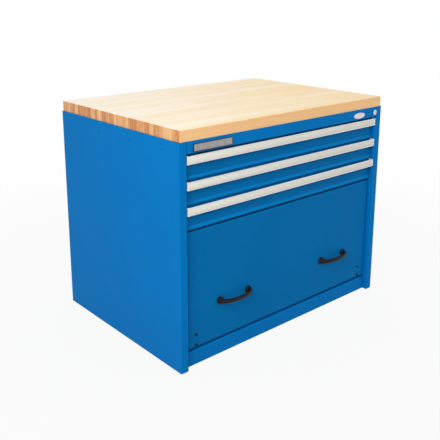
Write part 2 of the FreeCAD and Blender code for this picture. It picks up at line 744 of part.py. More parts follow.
def draw_bowed_outline(sketch, points, bows, crown):
    """A closed outline of lines, some sides of which bow out by the crown as arcs towards -Y.
    An inner side runs from right to left, so its arc, drawn anticlockwise, starts at its end."""
    places = [FreeCAD.Vector(as_size(x).value, as_size(y).value, 0) for x, y in points]
    count = len(points)
    ends = []
    for i in range(count):
        start, stop = places[i], places[(i + 1) % count]
        if i not in bows:
            sketch.addGeometry(Part.LineSegment(start, stop), False)
            ends.append((1, 2))
            continue
        half_chord = as_size(points[i][0])
        radius = (half_chord * half_chord + crown * crown) / (crown * 2)
        centre_y = points[i][1] - crown + radius
        centre = FreeCAD.Vector(0, centre_y.value, 0)
        first, last = (start, stop) if bows[i] == "outer" else (stop, start)
        angles = [math.atan2(p.y - centre.y, p.x) for p in (first, last)]
        circle = Part.Circle(centre, FreeCAD.Vector(0, 0, 1), radius.value)
        sketch.addGeometry(Part.ArcOfCircle(circle, angles[0], angles[1]), False)
        ends.append((1, 2) if bows[i] == "outer" else (2, 1))
        held = sketch.addConstraint(Sketcher.Constraint("Radius", i, radius.value))
        sketch.setExpression("Constraints[%d]" % held, radius.text)
    for i in range(count):
        after = (i + 1) % count
        sketch.addConstraint(
            Sketcher.Constraint("Coincident", i, ends[i][1], after, ends[after][0]))
    for i, (x, y) in enumerate(points):
        pin_point(sketch, i, ends[i][0], x, y)


# Lock: cylinder, cam and the bar that it lifts and lowers
def lock_cylinder():
    body = new_body("lock_cylinder", x=lock_x, y=face, z=lock_height)
    pad(body, "XZ", -bezel_thickness, 0, circles=[(0, 0, bezel_radius)])
    pad(body, "XZ", 0, barrel_length, circles=[(0, 0, barrel_radius)])
    pocket(body, "XZ", -bezel_thickness - past, key_depth,
           rectangle(-key_width / 2, -key_height / 2, key_width / 2, key_height / 2))
    return body


cam_front = face + barrel_length
pin_front = cam_front + cam_thickness
arm_front = pin_front + arm_gap
arm_back = arm_front + bar_gauge


def lock_cam():
    body = new_body("lock_cam", x=lock_x, z=lock_height)
    pad(body, "XZ", cam_front, pin_front, circles=[(0, 0, cam_radius)])
    pad(body, "XZ", pin_front, arm_back + arm_gap,
        circles=[(crank_drop, crank_drop, crank_pin)])
    return body


def lock_bar():
    body = new_body("lock_bar")
    near = opening_half + sheet_gauge * 2
    far = near + bar_gauge
    bottom = slide_centres["tool_drawer"] + finger_rise - bar_tail
    top = lock_height + arm_rise
    pad(body, "YZ", near, far, rectangle(arm_back, bottom, arm_back + bar_width, top))
    pad(body, "XZ", arm_front, arm_back,
        rectangle(lock_x - arm_end, lock_height - arm_end, far, top))
    slot_low = lock_height + crank_drop - crank_pin - pin_play
    slot_high = lock_height + crank_drop + crank_pin + pin_play
    slot_left = lock_x + crank_drop - crank_pin - pin_side_play
    slot_right = lock_x + crank_radius + crank_pin + pin_side_play
    pocket(body, "XZ", arm_front - past, arm_back + past,
           rectangle(slot_left, slot_low, slot_right, slot_high))
    for centre in slide_centres.values():
        low = centre + finger_rise
        pad(body, "XY", low, low + finger_height,
            rectangle(opening_half - finger_reach, finger_front, near + bar_gauge / 2,
                      finger_back))
    return body


# Butcher-block top, bored from below for its screws
def butcher_block():
    body = new_body("butcher_block_top")
    side = half_width - wood_side_inset
    top = body_height + wood_thickness
    outline = rectangle(-side, face + wood_front_inset, side, back)
    pad(body, "XY", body_height, top, outline)
    round_edges(body, wood_round, ("X", dict(z=top)), ("Y", dict(z=top)), ("Z", dict()))
    pocket(body, "XY", body_height, body_height + cover_screw_depth,
           circles=[(x, y, cover_shank + screw_fit) for x, y in cover_screws])
    return body


def top_screws():
    body = new_body("top_screws")
    under = body_height - sheet_gauge
    pad(body, "XY", under - cover_head_height, under,
        circles=[(x, y, cover_head) for x, y in cover_screws])
    pad(body, "XY", under, body_height + cover_screw_depth,
        circles=[(x, y, cover_shank) for x, y in cover_screws])
    return body


def side_screws():
    body = new_body("side_screws")
    for name, sign in sides:
        low, high = span(half_width * sign, inner_wall * sign)
        pad(body, "YZ", low, high,
            circles=[(y, side_screw_height, side_head) for y in side_screw_places])
        low, high = span(inner_wall * sign, (inner_wall - side_screw_length) * sign)
        pad(body, "YZ", low, high,
            circles=[(y, side_screw_height, small_shank) for y in side_screw_places])
    return body


def front_screws():
    body = new_body("tool_drawer_front_screws", y=recess, z=panel_bottom)
    pad(body, "XZ", -front_head_height, 0,
        circles=[(x, z, front_head) for x, z in front_screw_places])
    pad(body, "XZ", 0, front_fold + front_screw_end,
        circles=[(x, z, small_shank) for x, z in front_screw_places])
    return body


def pull_screws():
    body = new_body("tool_drawer_pull_screws", y=recess, z=panel_bottom + pull_rise)
    pad(body, "XZ", -pull_screw_depth, sheet_gauge, circles=[(x, 0, pull_shank) for x in pull_feet])
    pad(body, "XZ", sheet_gauge, sheet_gauge + pull_head_height,
        circles=[(x, 0, pull_screw_head) for x in pull_feet])
    return body


parts = []
for side_name, side_sign in sides:
    parts.append(side_panel(side_name, side_sign))
    parts.append(upright(side_name, side_sign, "front", front_upright_edge))
    parts.append(upright(side_name, side_sign, "rear", rear_upright_edge))
parts += [back_panel(), top_cover(), base_panel(), header_rail(), kick_rail()]
parts += [butcher_block(), top_screws(), side_screws()]
for drawer_name in slide_centres:
    for side_name, side_sign in sides:
        parts.append(cabinet_rail(drawer_name, side_name, side_sign))
        parts.append(carriage_bar(drawer_name, side_name, side_sign))
        parts.append(drawer_rail(drawer_name, side_name, side_sign))
    parts.append(rollers(drawer_name))
for drawer_name, drawer_bottom in shallow_drawers.items():
    parts.append(shallow_front(drawer_name, drawer_bottom))
    parts.append(handle(drawer_name, drawer_bottom))
    parts.append(shallow_box(drawer_name, drawer_bottom))
parts += [tool_front(), tool_tray(), bow_pull("left", -1), bow_pull("right", 1)]
parts += [front_screws(), pull_screws(), lock_cylinder(), lock_cam(), lock_bar()]

doc.recompute()
failed = [o.Name for o in doc.Objects if "Invalid" in o.State or "Error" in o.State]
if failed:
    raise RuntimeError("failed objects: " + ", ".join(failed))
os.makedirs("parts", exist_ok=True)
for part in parts:
    if part.Shape.isNull() or not part.Shape.isValid():
        raise RuntimeError("bad shape: " + part.Label)
for part in parts:
    part.Shape.exportStep("parts/%s.step" % part.Label)
    print(part.Label, len(part.Shape.Solids), round(part.Shape.Volume))
print("sub-parts:", len(parts))
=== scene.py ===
import math

import bpy
from mathutils import Matrix, Vector


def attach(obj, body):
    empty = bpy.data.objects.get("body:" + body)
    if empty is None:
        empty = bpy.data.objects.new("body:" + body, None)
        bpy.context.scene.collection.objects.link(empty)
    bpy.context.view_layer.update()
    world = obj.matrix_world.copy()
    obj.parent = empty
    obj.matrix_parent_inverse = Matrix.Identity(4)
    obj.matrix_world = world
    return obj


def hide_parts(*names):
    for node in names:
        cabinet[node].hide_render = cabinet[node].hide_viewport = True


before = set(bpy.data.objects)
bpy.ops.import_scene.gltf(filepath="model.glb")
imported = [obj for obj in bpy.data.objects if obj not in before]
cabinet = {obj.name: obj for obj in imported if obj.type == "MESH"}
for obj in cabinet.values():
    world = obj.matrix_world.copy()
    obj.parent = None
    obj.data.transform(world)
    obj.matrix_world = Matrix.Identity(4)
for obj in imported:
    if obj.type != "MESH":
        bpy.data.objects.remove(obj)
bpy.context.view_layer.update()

bpy.ops.object.select_all(action="DESELECT")


# ---------------------------------------------------------------------------------------------
# Housing: side panels folded round into the front posts, header rail, kick rail, back panel, top
# cover and base panel. Bent from sheet steel, spot-welded, then powder-coated blue. The slotted
# uprights, drawer boxes and tool tray inside have the same coat, drawn here in a darker copy of
# it that is painted shade.
# ---------------------------------------------------------------------------------------------

def add_node(tree, kind, sockets=None, **settings):
    """One shader node: its settings, and its sockets as values or as links."""
    made = tree.nodes.new("ShaderNode" + kind)
    for setting, value in settings.items():
        setattr(made, setting, value)
    for socket, value in (sockets or {}).items():
        if isinstance(value, bpy.types.NodeSocket):
            tree.links.new(value, made.inputs[socket])
        else:
            made.inputs[socket].default_value = value
    return made.outputs


def blank_finish(name, roughness, metallic=0.0, specular=0.5):
    """A finish with its plain values on the shader's own sockets, and the place on the piece."""
    material = bpy.data.materials.new(name)
    material.use_nodes = True
    tree = material.node_tree
    shader = tree.nodes["Principled BSDF"].inputs
    shader["Roughness"].default_value = roughness
    shader["Metallic"].default_value = metallic
    shader["Specular IOR Level"].default_value = specular
    return material, tree, shader, add_node(tree, "TexCoord")["Object"]


def stretched(tree, place, scale):
    """The place on the piece, scaled by its own factor along each axis."""
    return add_node(tree, "Mapping", {"Vector": place, "Scale": scale})[0]


def mottle(tree, place, scale, detail=2.0, roughness=0.5):
    """Soft noise of so many spots in a metre."""
    sockets = {"Vector": place, "Scale": scale, "Detail": detail, "Roughness": roughness}
    return add_node(tree, "TexNoise", sockets)[0]


def ramp(tree, value, start, end, low=0.0, high=1.0):
    """A number that runs from low to high while value runs from start to end."""
    sockets = {"Value": value, "From Min": start, "From Max": end, "To Min": low, "To Max": high}
    return add_node(tree, "MapRange", sockets)[0]


def between(tree, amount, low, high):
    """A number that runs from low to high with amount."""
    return ramp(tree, amount, 0.0, 1.0, low, high)


def blended(tree, amount, first, second):
    """Two colours mixed by amount."""
    mix = tree.nodes.new("ShaderNodeMix")
    mix.data_type = "RGBA"
    for socket, value in ((0, amount), (6, first), (7, second)):
        if isinstance(value, bpy.types.NodeSocket):
            tree.links.new(value, mix.inputs[socket])
        elif isinstance(value, (int, float)):
            mix.inputs[socket].default_value = value
        else:
            mix.inputs[socket].default_value = (*value, 1)
    return mix.outputs[2]


def relief(tree, shader, height, strength, depth):
    """A fine relief of so many metres in the surface."""
    bump = add_node(tree, "Bump", {"Height": height, "Strength": strength, "Distance": depth})
    tree.links.new(bump[0], shader["Normal"])


def powder_coat(name, deep, bright, painted_top_highlight=1.0):
    """Baked powder coat: an even blue, faintly clouded, with a fine orange-peel skin. Faces that
    turn upward get a painted highlight: the bright blue, times painted_top_highlight."""
    material, tree, shader, place = blank_finish(name, 0.45, specular=0.03)
    cloud = mottle(tree, place, 3.0, 3.0)
    speck = mottle(tree, place, 260.0)
    tone = add_node(tree, "Math", {0: cloud, 1: speck}, operation="MULTIPLY")[0]
    blue = blended(tree, ramp(tree, tone, 0.12, 0.4), deep, bright)
    # Painted highlight: faces turned upward take the bright blue raised by painted_top_highlight,
    # standing in for the light from above.
    upward = add_node(tree, "SeparateXYZ", {0: add_node(tree, "TexCoord")["Normal"]})["Z"]
    edge = [level * painted_top_highlight for level in bright]
    blue = blended(tree, ramp(tree, upward, 0.2, 0.4), blue, edge)
    tree.links.new(blue, shader["Base Color"])
    tree.links.new(between(tree, cloud, 0.38, 0.54), shader["Roughness"])
    relief(tree, shader, mottle(tree, place, 620.0, 1.0), 0.12, 0.0002)
    return material


def coat(material, *names):
    """Gives CAD nodes their finish."""
    for name in names:
        for slot in cabinet[name].material_slots:
            slot.material = material


housing_blue = powder_coat("housing_blue", (0.0008, 0.158, 0.462), (0.0012, 0.178, 0.505))
# A darker copy of the housing blue: painted shade for the parts inside and for the painted side
# screws.
inner_blue = powder_coat("inner_blue", (0.0008, 0.132, 0.385), (0.0012, 0.150, 0.425))
coat(housing_blue, "left_side_panel", "right_side_panel", "back_panel", "top_cover",
     "base_panel", "header_rail", "kick_rail")
coat(inner_blue, *(f"{side}_{end}_upright" for side in ("left", "right")
                   for end in ("front", "rear")))


# ---------------------------------------------------------------------------------------------
# Worktop: hard-maple butcher block, staves glued edge to edge with their grain along the
# cabinet, planed, its edges eased, and sealed. Screwed up from the top cover.
# ---------------------------------------------------------------------------------------------

stave_width = 0.024
stave_length = 0.62
stave_stagger = 7.3
stave_wander = 0.0045
wander_rate = 97.0
ring_width = 0.0034
ring_taper = 0.012
pith_spread = 0.22
pith_level = 0.8
grain_bend = 0.01


def butcher_block():
    """Staves cut from the log each at their own place: rings on the ends, grain on the faces."""
    material, tree, shader, place = blank_finish("maple", 0.4, specular=0.35)

    def number(operation, *values):
        return add_node(tree, "Math", dict(enumerate(values)), operation=operation)[0]

    def vector(operation, *values, output=0):
        return add_node(tree, "VectorMath", dict(enumerate(values)), operation=operation)[output]

    def scaled(value, factor):
        return add_node(tree, "VectorMath", {0: value, "Scale": factor}, operation="SCALE")[0]

    # Staves of uneven width, each cut into boards that start at their own place
    x, y = add_node(tree, "SeparateXYZ", {0: place})[:2]
    wander = number("SINE", number("MULTIPLY", y, wander_rate))
    wander = number("MULTIPLY", wander, stave_wander)
    across = number("DIVIDE", number("ADD", y, wander), stave_width)
    stave = number("FLOOR", across)
    draw = add_node(tree, "TexWhiteNoise", {"W": stave}, noise_dimensions="1D")
    start = number("MULTIPLY", draw[0], stave_stagger)
    length = number("FLOOR", number("ADD", number("DIVIDE", x, stave_length), start))
    board = add_node(tree, "CombineXYZ", {0: stave, 1: length})[0]
    cut = add_node(tree, "TexWhiteNoise", {"Vector": board}, noise_dimensions="3D")

    # Growth rings, slightly bent, round a pith that each board has in another place
    pith = scaled(vector("SUBTRACT", cut[1], (0.5, 0.5, 0.5)), pith_spread)
    waves = mottle(tree, stretched(tree, place, (1.6, 14.0, 14.0)), 1.0, 3.0)
    bent = vector("ADD", place, scaled(waves, grain_bend))
    from_pith = vector("MULTIPLY", vector("SUBTRACT", bent, pith), (ring_taper, 1.0, 1.0))
    from_pith = vector("SUBTRACT", from_pith, (0.0, 0.0, pith_level))
    radius = vector("LENGTH", from_pith, output=1)
    ring = number("SINE", number("MULTIPLY", radius, 2 * math.pi / ring_width))
    ring = ramp(tree, ring, -0.2, 1.0)

    grain = mottle(tree, stretched(tree, place, (5.0, 120.0, 120.0)), 1.0, 4.0, 0.6)
    fibre = mottle(tree, stretched(tree, place, (26.0, 620.0, 620.0)), 1.0, 2.0)
    broad = mottle(tree, stretched(tree, place, (1.3, 11.0, 11.0)), 1.0, 2.0)

    normal = add_node(tree, "TexCoord")["Normal"]
    facing = add_node(tree, "SeparateXYZ", {0: vector("ABSOLUTE", normal)})
    on_end = number("GREATER_THAN", facing[0], 0.6)
    on_top = number("GREATER_THAN", facing[2], 0.6)

    # Each board has its own tone, and the top runs more golden to the right and the front: paler
    # to the left as a painted highlight, and paler towards the back.
    tone = number("ADD", number("MULTIPLY", cut[0], 0.5), number("MULTIPLY", broad, 0.8))
    slope_with_painted_highlight = number("SUBTRACT", number("MULTIPLY", x, 0.68), number("MULTIPLY", y, 0.62))
    tone_and_highlight_slope = number("SUBTRACT", number("ADD", tone, slope_with_painted_highlight), 0.12)
    # The top's colours are paler than the long-grain edges' below: partly the wood's own tone,
    # partly a painted sheen on the top.
    face = blended(tree, tone_and_highlight_slope, (0.90, 0.845, 0.72), (0.875, 0.66, 0.34))
    edge = blended(tree, tone, (0.94, 0.60, 0.29), (0.90, 0.53, 0.235))

    # The sawn ends took up more of the oil, in stripes
    splits = mottle(tree, stretched(tree, place, (3.0, 210.0, 9.0)), 1.0, 2.0, 0.7)
    splits = ramp(tree, splits, 0.3, 0.7)
    weather = number("ADD", number("MULTIPLY", cut[0], 0.45), number("MULTIPLY", splits, 0.6))
    end = blended(tree, ramp(tree, weather, 0.22, 0.8), (0.85, 0.50, 0.225), (0.48, 0.138, 0.034))

    # Rings, streaks of grain and fibres over those colours
    side = blended(tree, on_top, edge, face)
    wood = blended(tree, on_end, side, end)
    depth = between(tree, on_end, 0.06, 0.2)
    wood = blended(tree, number("MULTIPLY", ring, depth), wood, (0.42, 0.21, 0.075))
    wood = blended(tree, ramp(tree, grain, 0.35, 0.8, 0.0, 0.16), wood, (0.62, 0.37, 0.15))
    wood = blended(tree, number("MULTIPLY", fibre, 0.10), wood, (0.70, 0.47, 0.22))

    # Glue lines between the staves
    gap = number("ABSOLUTE", number("SUBTRACT", number("FRACT", across), 0.5))
    seam = ramp(tree, gap, 0.482, 0.5, 0.0, 0.42)
    wood = blended(tree, seam, wood, (0.36, 0.20, 0.085))
    tree.links.new(wood, shader["Base Color"])
    tree.links.new(between(tree, grain, 0.34, 0.5), shader["Roughness"])
    relief(tree, shader, number("SUBTRACT", grain, seam), 0.12, 0.0003)
    return material


maple = butcher_block()
coat(maple, "butcher_block_top")


# ---------------------------------------------------------------------------------------------
# Zinc-plated steel: the slides' rails and carriage bars, the lock bar and cam, the screws under
# the worktop and behind the pulls. Rolled or pressed, then bright-plated.
# ---------------------------------------------------------------------------------------------

def zinc_plate():
    """Zinc plate: cloudy bright and dull patches with fine rolling lines along the piece."""
    material, tree, shader, place = blank_finish("zinc_steel", 0.36, metallic=1.0)
    patch = mottle(tree, place, 42.0, 3.0)
    lines = mottle(tree, stretched(tree, place, (240.0, 9.0, 900.0)), 1.0)
    tree.links.new(blended(tree, patch, (0.50, 0.51, 0.52), (0.66, 0.67, 0.69)),
                   shader["Base Color"])
    tree.links.new(between(tree, lines, 0.28, 0.46), shader["Roughness"])
    relief(tree, shader, lines, 0.08, 0.0001)
    return material


zinc_steel = zinc_plate()
drawer_names = ["drawer_1", "drawer_2", "drawer_3", "tool_drawer"]
for drawer in drawer_names:
    for side in ("left", "right"):
        for part in ("cabinet_rail", "carriage", "drawer_rail"):
            coat(zinc_steel, f"{drawer}_{side}_{part}")
coat(zinc_steel, "top_screws", "tool_drawer_pull_screws", "lock_cam", "lock_bar")


# ---------------------------------------------------------------------------------------------
# Slide rollers: hardened steel discs that turn on rivets in the carriage bars, four on each
# side of a drawer. Turned with a crowned rim and a hub, black-oxide finished.
# ---------------------------------------------------------------------------------------------

def start_edit(select="DESELECT"):
    """Opens the active piece for modelling, with nothing or all of it picked."""
    bpy.ops.object.mode_set(mode="EDIT")
    bpy.ops.mesh.select_all(action=select)


def pick_faces(test):
    """Selects the faces whose centre and normal pass the test, in edit mode."""
    bpy.ops.object.mode_set(mode="OBJECT")
    mesh = bpy.context.object.data
    for item in (*mesh.vertices, *mesh.edges):
        item.select = False
    for face in mesh.polygons:
        face.select = bool(test(face.center, face.normal))
    bpy.context.tool_settings.mesh_select_mode = (False, False, True)
    bpy.ops.object.mode_set(mode="EDIT")


def pick_edges(test):
    """Selects the edges whose two ends pass the test, in edit mode."""
    bpy.ops.object.mode_set(mode="OBJECT")
    mesh = bpy.context.object.data
    for item in (*mesh.polygons, *mesh.vertices):
        item.select = False
    for edge in mesh.edges:
        edge.select = bool(test(*(mesh.vertices[v].co for v in edge.vertices)))
    bpy.context.tool_settings.mesh_select_mode = (False, True, False)
    bpy.ops.object.mode_set(mode="EDIT")


def step_in(steps, each=False):
    """Insets the picked faces by so much, and raises them by so much, once for each step."""
    for width, height in steps:
        bpy.ops.mesh.inset(thickness=width, depth=height, use_individual=each)


def settle(name, material, angle=35.0):
    """Ends the modelling of the active piece: place in its mesh, smooth faces, finish."""
    if bpy.context.mode != "OBJECT":
        bpy.ops.object.mode_set(mode="OBJECT")
    bpy.ops.object.transform_apply(location=True, rotation=True, scale=True)
    bpy.ops.object.shade_smooth_by_angle(angle=math.radians(angle))
    piece = bpy.context.object
    piece.name = piece.data.name = name
    piece.data.materials.clear()
    piece.data.materials.append(material)
    piece.select_set(False)
    return piece


def copy_to(piece, name, move=(0, 0, 0), turn=None):
    """A copy with its own mesh, moved, and turned about the upright axis if asked."""
    twin = piece.copy()
    twin.data = piece.data.copy()
    bpy.context.collection.objects.link(twin)
    if turn is not None:
        twin.data.transform(Matrix.Rotation(turn, 4, "Z"))
    twin.data.transform(Matrix.Translation(move))
    twin.name = twin.data.name = name
    return twin


def join_all(members, name):
    """Several like pieces on one body made one piece."""
    bpy.ops.object.select_all(action="DESELECT")
    for member in members:
        member.select_set(True)
    bpy.context.view_layer.objects.active = members[0]
    bpy.ops.object.join()
    whole = bpy.context.object
    whole.name = whole.data.name = name
    whole.select_set(False)
    return whole


def fix(piece, body, slot, *nodes):
    """Says which body carries a piece and which node it stands for; the slot, naming its finish,
    is not used.
    """
    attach(piece, body)
    if nodes:
        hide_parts(*nodes)


def roller_finish():
    """Black oxide worn bright where the roller runs."""
    material, tree, shader, place = blank_finish("roller_steel", 0.34, metallic=1.0)
    wear = mottle(tree, place, 190.0, 3.0)
    tree.links.new(blended(tree, wear, (0.26, 0.26, 0.27), (0.52, 0.52, 0.53)),
                   shader["Base Color"])
    tree.links.new(between(tree, wear, 0.24, 0.44), shader["Roughness"])
    relief(tree, shader, wear, 0.06, 0.0001)
    return material


roller_steel = roller_finish()
roller_radius = 0.01095
roller_thick = 0.0064
roller_bevel = 0.0007
roller_inner = 0.4623
roller_outer = 0.4713
inner_places = (-0.280, -0.016)
outer_places = (0.008, 0.272)
slide_heights = {"drawer_1": 0.680, "drawer_2": 0.596, "drawer_3": 0.512, "tool_drawer": 0.092}

bpy.ops.mesh.primitive_cylinder_add(vertices=28, radius=roller_radius, depth=roller_thick,
                                    rotation=(0, math.pi / 2, 0))
bpy.ops.object.transform_apply(rotation=True)
start_edit()
pick_faces(lambda centre, normal: abs(normal.x) > 0.9)
roller_rim = [(0.0013, 0.0)]
roller_web = [(0.0005, -0.0007), (0.0036, 0.0)]
roller_hub = [(0.0004, 0.0006), (0.0014, 0.0), (0.0004, -0.0005)]
step_in(roller_rim + roller_web + roller_hub, each=True)
pick_edges(lambda a, b: a.x * b.x > 0 and min(a.yz.length, b.yz.length) > roller_radius - 1e-5)
bpy.ops.mesh.bevel(offset=roller_bevel, segments=2, affect="EDGES")
roller = settle("roller", roller_steel)
for drawer, height in slide_heights.items():
    wheels = []
    for sign in (-1, 1):
        for near, places in ((roller_inner, inner_places), (roller_outer, outer_places)):
            for y in places:
                where = (sign * (near + roller_thick / 2), y, height)
                wheels.append(copy_to(roller, "wheel", where))
    wheels = join_all(wheels, f"{drawer}_turned_rollers")
    fix(wheels, drawer.replace("drawer", "carriage"), "roller_steel", f"{drawer}_rollers")
bpy.data.objects.remove(roller)


# ---------------------------------------------------------------------------------------------
# Side screws: three flat-headed screws through each side panel into the top cover's flange,
# painted over with the housing. Cold-headed, with a cross recess.
# ---------------------------------------------------------------------------------------------

half_width = 0.511
side_screw_height = 0.7495
side_screw_places = (-0.264, -0.0775, 0.109)
side_head_radius = 0.0049
side_head_thick = 0.0012
recess_depth = 0.0009
recess_pinch = 0.42
recess_taper = 0.6
recess_outline = [(0.0004, 0.0), (0.0020, 0.0)]

bpy.ops.mesh.primitive_cylinder_add(vertices=16, radius=side_head_radius, depth=side_head_thick,
                                    rotation=(0, -math.pi / 2, 0))
bpy.ops.object.transform_apply(rotation=True)
start_edit()
pick_faces(lambda centre, normal: normal.x < -0.9)
step_in(recess_outline, each=True)
bpy.ops.object.mode_set(mode="OBJECT")

# The recess outline, drawn in at its four corners to make a cross
recess = [v for v in bpy.context.object.data.vertices if v.co.x < 0 and v.co.yz.length < 0.003]
for corner in recess:
    turn = math.degrees(math.atan2(corner.co.z, corner.co.y)) % 90
    if abs(turn - 45) < 5:
        corner.co.y *= recess_pinch
        corner.co.z *= recess_pinch
start_edit()
pick_faces(lambda centre, normal: normal.x < -0.9 and centre.yz.length < 0.0004)
bpy.ops.mesh.extrude_region_move(TRANSFORM_OT_translate={"value": (recess_depth, 0, 0)})
bpy.ops.transform.resize(value=(1, recess_taper, recess_taper), center_override=(0, 0, 0))
# The screw heads take the darker copy of the housing blue: painted shade that sets them off from
# the side panel.
side_screw = settle("side_screw", inner_blue)
screws = []
for sign in (-1, 1):
    for y in side_screw_places:
        where = (sign * (half_width - side_head_thick / 2), y, side_screw_height)
        screws.append(copy_to(side_screw, "screw", where, math.pi if sign > 0 else None))
bpy.data.objects.remove(side_screw)
fix(join_all(screws, "painted_side_screws"), "cabinet", "housing_blue", "side_screws")


# ---------------------------------------------------------------------------------------------
# Header plates: a bare die-cast name plate at the left and a bare oval badge at the right, in
# satin metal, the name plate's rim enamelled dark. Stuck to the header rail.
# ---------------------------------------------------------------------------------------------

def satin_plate(name, dull, bright):
    """Satin metal, brushed along the plate and a little uneven."""
    material, tree, shader, place = blank_finish(name, 0.42, metallic=0.75)
    brush = mottle(tree, stretched(tree, place, (14.0, 900.0, 900.0)), 1.0, 3.0)
    patch = mottle(tree, place, 60.0, 2.0)
    tone = add_node(tree, "Math", {0: brush, 1: patch}, operation="MULTIPLY")[0]
    tree.links.new(blended(tree, between(tree, tone, 0.0, 2.2), dull, bright),
                   shader["Base Color"])
    tree.links.new(between(tree, brush, 0.34, 0.5), shader["Roughness"])
    relief(tree, shader, brush, 0.1, 0.0001)
    return material


def dark_enamel():
    """Baked navy enamel with a faint cloud."""
    material, tree, shader, place = blank_finish("plate_rim", 0.3, specular=0.4)
    tree.links.new(blended(tree, mottle(tree, place, 90.0), (0.006, 0.022, 0.06),
                           (0.012, 0.036, 0.09)), shader["Base Color"])
    relief(tree, shader, mottle(tree, place, 700.0), 0.06, 0.0001)
    return material


def block(low, high):
    """A block between two corners, ready to be shaped."""
    bpy.ops.mesh.primitive_cube_add(size=1, location=(low + high) / 2, scale=high - low)
    bpy.ops.object.transform_apply(location=True, scale=True)
    start_edit()


header_face = -0.351
plate_thick = 0.0024
plate_corner = 0.005
plate_field = [(0.0005, 0.0003), (0.0022, 0.0), (0.0005, -0.0007)]
rim_width = 0.0031
badge_size = Vector((0.067, 0.0225, 0.002))
badge_field = [(0.0005, 0.0003), (0.0013, 0.0), (0.0004, -0.0006)]
plate_grey = satin_plate("name_plate", (0.27, 0.25, 0.25), (0.42, 0.39, 0.385))
badge_grey = satin_plate("oval_badge", (0.60, 0.56, 0.58), (0.78, 0.74, 0.75))
plate_rim = dark_enamel()

# Name plate: a raised rim round a sunk field
plate_low = Vector((-0.455, header_face - plate_thick, 0.7485))
plate_high = Vector((-0.290, header_face, 0.7765))
block(plate_low, plate_high)
pick_edges(lambda a, b: abs(a.y - b.y) > 0.001)
bpy.ops.mesh.bevel(offset=plate_corner, segments=5, affect="EDGES")
pick_faces(lambda centre, normal: normal.y < -0.9)
step_in(plate_field)
plate = settle("bare_name_plate", plate_grey)
plate.data.materials.append(plate_rim)
for face in plate.data.polygons:
    inside = all(plate_low[axis] + rim_width < face.center[axis] < plate_high[axis] - rim_width
                 for axis in (0, 2))
    face.material_index = 0 if inside else 1
fix(plate, "cabinet", "lock_chrome")

# Oval badge, with a narrower rim
badge_centre = Vector((0.3705, header_face - badge_size.z / 2, 0.762))
bpy.ops.mesh.primitive_cylinder_add(vertices=48, radius=0.5, depth=1, location=badge_centre,
                                    rotation=(math.pi / 2, 0, 0), scale=badge_size)
bpy.ops.object.transform_apply(location=True, rotation=True, scale=True)
start_edit()
pick_faces(lambda centre, normal: normal.y < -0.9)
step_in(badge_field)
badge = settle("bare_oval_badge", badge_grey)
fix(badge, "cabinet", "lock_chrome")


# ---------------------------------------------------------------------------------------------
# Drawer fronts: folded steel pans in a darker blue than the housing's, the shallow ones with a
# turned-out lip along the bottom whose upward face gets a painted highlight. Welded to their
# drawer boxes, which have the darker copy of the housing blue that is painted shade.
# ---------------------------------------------------------------------------------------------

# The fronts' blue is darker than the housing's; their upward faces, the lips along their bottoms,
# get a painted highlight 1.2 times their bright blue.
front_blue = powder_coat("front_blue", (0.0008, 0.140, 0.382), (0.0012, 0.156, 0.416), 1.2)
coat(front_blue, *(f"{drawer}_front" for drawer in drawer_names))
coat(inner_blue, "drawer_1_box", "drawer_2_box", "drawer_3_box", "tool_drawer_tray")


# ---------------------------------------------------------------------------------------------
# Drawer handles: full-width extruded aluminium strips, clear-anodised, with a channel for a
# label strip between two lips. Riveted to the fronts, the ends closed with moulded caps.
# ---------------------------------------------------------------------------------------------

def anodised_aluminium():
    """Clear-anodised aluminium with the die's fine lines along it."""
    material, tree, shader, place = blank_finish("anodised_strip", 0.4, metallic=0.85)
    die_lines = mottle(tree, stretched(tree, place, (6.0, 1500.0, 1500.0)), 1.0, 3.0)
    cloud = mottle(tree, stretched(tree, place, (3.0, 30.0, 30.0)), 1.0)
    tone = add_node(tree, "Math", {0: die_lines, 1: cloud}, operation="MULTIPLY")[0]
    tree.links.new(blended(tree, between(tree, tone, 0.0, 2.4), (0.72, 0.70, 0.68),
                           (0.82, 0.80, 0.785)), shader["Base Color"])
    tree.links.new(between(tree, die_lines, 0.34, 0.5), shader["Roughness"])
    relief(tree, shader, die_lines, 0.08, 0.0001)
    return material


def moulded_cap():
    """Ivory moulded plastic with a fine spark-eroded grain."""
    material, tree, shader, place = blank_finish("handle_end_cap", 0.45, specular=0.4)
    tree.links.new(blended(tree, mottle(tree, place, 70.0), (0.82, 0.78, 0.71),
                           (0.88, 0.84, 0.78)), shader["Base Color"])
    relief(tree, shader, mottle(tree, place, 1500.0), 0.15, 0.0001)
    return material


def label_paper():
    """Blank label card behind a clear strip: faint fibres under a soft gloss."""
    material, tree, shader, place = blank_finish("label_card", 0.35, specular=0.4)
    fibres = mottle(tree, stretched(tree, place, (240.0, 500.0, 700.0)), 1.0, 3.0)
    cloud = mottle(tree, place, 14.0)
    card = blended(tree, fibres, (0.70, 0.69, 0.62), (0.77, 0.76, 0.69))
    tree.links.new(blended(tree, between(tree, cloud, 0.0, 0.35), card, (0.66, 0.66, 0.60)),
                   shader["Base Color"])
    relief(tree, shader, fibres, 0.06, 0.0001)
    return material


anodised_strip = anodised_aluminium()
handle_end_cap = moulded_cap()
label_card = label_paper()
front_bottoms = {"drawer_1": 0.658, "drawer_2": 0.574, "drawer_3": 0.490}
handle_low = 0.0525
handle_high = 0.0805
handle_front = -0.351
handle_back = -0.333
handle_end = 0.474
lip_height = 0.0035
channel_floor = -0.3498
handle_wall = 0.0018
handle_flange = 0.0100
handle_leg = 0.0095
handle_top = handle_high - handle_low
nose_round = 0.0008


def cut_across(place, way):
    """Cuts through the whole piece, leaving both sides."""
    bpy.ops.mesh.select_all(action="SELECT")
    bpy.ops.mesh.bisect(plane_co=place, plane_no=way)


def draw_out(test, move):
    """Extrudes the faces that pass the test."""
    pick_faces(test)
    bpy.ops.mesh.extrude_region_move(TRANSFORM_OT_translate={"value": move})


